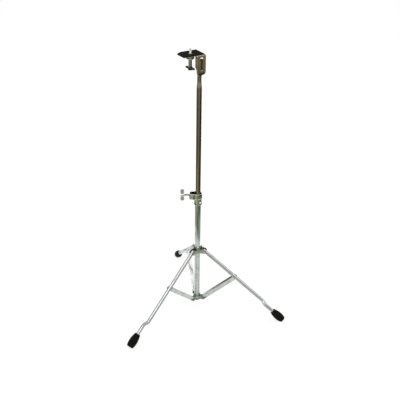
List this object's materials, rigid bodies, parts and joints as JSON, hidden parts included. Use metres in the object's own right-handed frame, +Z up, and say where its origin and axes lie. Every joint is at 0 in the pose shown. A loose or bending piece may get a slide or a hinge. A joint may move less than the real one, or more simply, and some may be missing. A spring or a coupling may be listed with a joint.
{
  "type": "practice pad stand",
  "caption": "Folding tripod stand with a telescopic mast and a tilting slotted bracket whose wing screw holds a practice pad",
  "frame": {"origin": "on the floor, under the middle of the stand's bounding box", "axes": "+Z up along the mast, -Y the slotted face of the bracket, +X along the long side of the plate"},
  "size_m": [0.5368, 0.5416, 0.9433],
  "materials": {
    "chrome": "bright chrome plate",
    "aged_nickel": "aged brownish nickel plate",
    "zinc": "zinc plate",
    "black_rubber": "matt black rubber",
    "dark_steel": "blackened cast wings",
    "nylon": "off-white nylon"
  },
  "bodies": {
    "base": {"base_tube": "chrome", "lower_spider": "chrome", "height_collar": "chrome", "collar_rivet": "chrome", "clamp_shoe": "zinc", "clamp_nut": "zinc", "lower_rivet_1": "zinc", "lower_rivet_2": "zinc", "lower_rivet_3": "zinc"},
    "clamp_screw": {"clamp_screw": "chrome"},
    "mast_guide": {"guide_plug": "nylon"},
    "mast": {"upper_tube": "aged_nickel"},
    "tilt_bolt": {"pivot_bolt": "aged_nickel", "pivot_nut": "zinc", "friction_washer": "black_rubber", "pivot_spacer": "zinc"},
    "head": {"head_bracket": "aged_nickel", "plate_rubber": "black_rubber", "cup_washer": "chrome", "pad_nut": "chrome"},
    "pad_screw": {"pad_screw": "dark_steel"},
    "runner": {"runner": "chrome", "runner_rivet_1a": "zinc", "runner_rivet_1b": "zinc", "runner_rivet_2a": "zinc", "runner_rivet_2b": "zinc", "runner_rivet_3a": "zinc", "runner_rivet_3b": "zinc"},
    "runner_screw": {"runner_screw": "chrome"},
    "brace_1": {"brace_1": "chrome", "brace_rivet_1": "zinc"},
    "leg_1": {"leg_1": "chrome", "leg_bush_1": "zinc", "foot_1": "black_rubber"},
    "brace_2": {"brace_2": "chrome", "brace_rivet_2": "zinc"},
    "leg_2": {"leg_2": "chrome", "leg_bush_2": "zinc", "foot_2": "black_rubber"},
    "brace_3": {"brace_3": "chrome", "brace_rivet_3": "zinc"},
    "leg_3": {"leg_3": "chrome", "leg_bush_3": "zinc", "foot_3": "black_rubber"}
  },
  "joints": [
    {"name": "legs_fold", "type": "hinge", "parent": "base", "child": "brace_1", "pos_m": [0.05852, -0.05306, 0.0368], "axis": [-0.6972, -0.7169, 0], "range_deg": [0, 41.2]},
    {"name": "brace_2_fold", "type": "hinge", "parent": "base", "child": "brace_2", "pos_m": [0.04777, -0.01506, 0.0368], "axis": [0.9694, -0.2453, 0], "range_deg": [0, 41.3]},
    {"name": "brace_3_fold", "type": "hinge", "parent": "base", "child": "brace_3", "pos_m": [0.02024, -0.04337, 0.0368], "axis": [-0.2723, 0.9622, 0], "range_deg": [0, 41.3]},
    {"name": "leg_1_knee", "type": "hinge", "parent": "brace_1", "child": "leg_1", "pos_m": [0.13981, -0.13211, 0.1494], "axis": [0.6972, 0.7169, 0], "range_deg": [0, 87.99]},
    {"name": "leg_2_knee", "type": "hinge", "parent": "brace_2", "child": "leg_2", "pos_m": [0.07559, 0.09487, 0.1494], "axis": [-0.9694, 0.2453, 0], "range_deg": [0, 87.99]},
    {"name": "leg_3_knee", "type": "hinge", "parent": "brace_3", "child": "leg_3", "pos_m": [-0.08887, -0.07424, 0.1494], "axis": [0.2723, -0.9622, 0], "range_deg": [0, 87.99]},
    {"name": "runner_slide", "type": "slide", "parent": "base", "child": "runner", "axis": [0, 0, 1], "range_m": [0, 0.0991]},
    {"name": "runner_screw_turn", "type": "hinge", "parent": "runner", "child": "runner_screw", "pos_m": [0.04218, -0.03716, 0.24309], "axis": [0.9622, 0.2723, 0], "continuous": true},
    {"name": "mast_height", "type": "slide", "parent": "base", "child": "mast_guide", "axis": [0, 0, 1], "range_m": [-0.28, 0.03]},
    {"name": "mast_swivel", "type": "hinge", "parent": "mast_guide", "child": "mast", "pos_m": [0.04218, -0.03716, 0.44], "axis": [0, 0, 1], "continuous": true},
    {"name": "clamp_screw_turn", "type": "hinge", "parent": "base", "child": "clamp_screw", "pos_m": [0.04218, -0.03716, 0.4617], "axis": [-0.8746, 0.4848, 0], "continuous": true},
    {"name": "head_tilt", "type": "hinge", "parent": "mast", "child": "tilt_bolt", "pos_m": [0.04218, -0.03716, 0.88], "axis": [0, 1, 0], "range_deg": [-30, 30]},
    {"name": "head_slide", "type": "slide", "parent": "tilt_bolt", "child": "head", "axis": [0, 0, 1], "range_m": [-0.008, 0]},
    {"name": "pad_screw_turn", "type": "hinge", "parent": "head", "child": "pad_screw", "pos_m": [0.01968, -0.02231, 0.9], "axis": [0, 0, 1], "continuous": true}
  ],
  "couplings": [
    {"joint": "brace_2_fold", "follows": "legs_fold", "ratio": 1},
    {"joint": "brace_3_fold", "follows": "legs_fold", "ratio": 1},
    {"joint": "leg_1_knee", "follows": "legs_fold", "ratio": 2.1307},
    {"joint": "leg_2_knee", "follows": "legs_fold", "ratio": 2.1307},
    {"joint": "leg_3_knee", "follows": "legs_fold", "ratio": 2.1307},
    {"joint": "runner_slide", "follows": "legs_fold", "m_per_rad": 0.13757}
  ]
}
